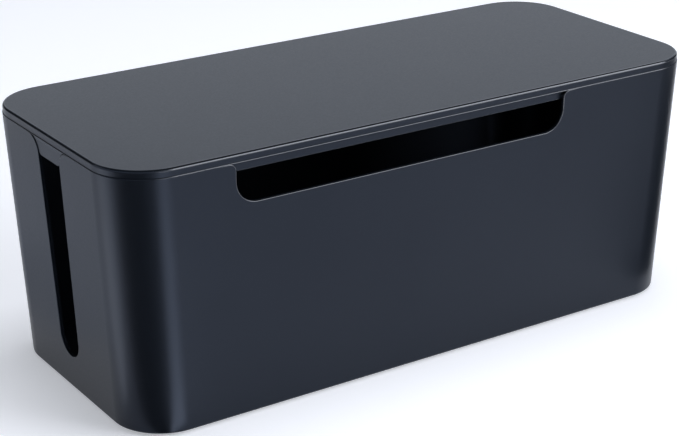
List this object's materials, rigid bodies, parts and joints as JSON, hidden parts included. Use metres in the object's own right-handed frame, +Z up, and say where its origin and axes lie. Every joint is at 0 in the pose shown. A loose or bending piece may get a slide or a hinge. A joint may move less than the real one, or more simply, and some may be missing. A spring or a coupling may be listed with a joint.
{
  "type": "cable management box",
  "caption": "Rectangular storage tub with drafted walls, round corners, cable slots in its ends and front, and a lift-off lid that hides a power strip.",
  "frame": {"origin": "on the surface that the feet stand on, below the middle of the box", "axes": "+X along the box to the right, the long front slot faces -Y, +Z up"},
  "size_m": [0.32, 0.1366, 0.1252],
  "materials": {
    "shell_plastic": "satin",
    "foot_rubber": "matte"
  },
  "bodies": {
    "base": {"tub": "shell_plastic", "foot_front_left": "foot_rubber", "foot_front_right": "foot_rubber", "foot_back_left": "foot_rubber", "foot_back_right": "foot_rubber"},
    "cover": {"lid": "shell_plastic"}
  },
  "joints": [
    {"name": "lid_lift", "type": "slide", "parent": "base", "child": "cover", "axis": [0, 0, 1], "range_m": [0, 0.08]}
  ]
}
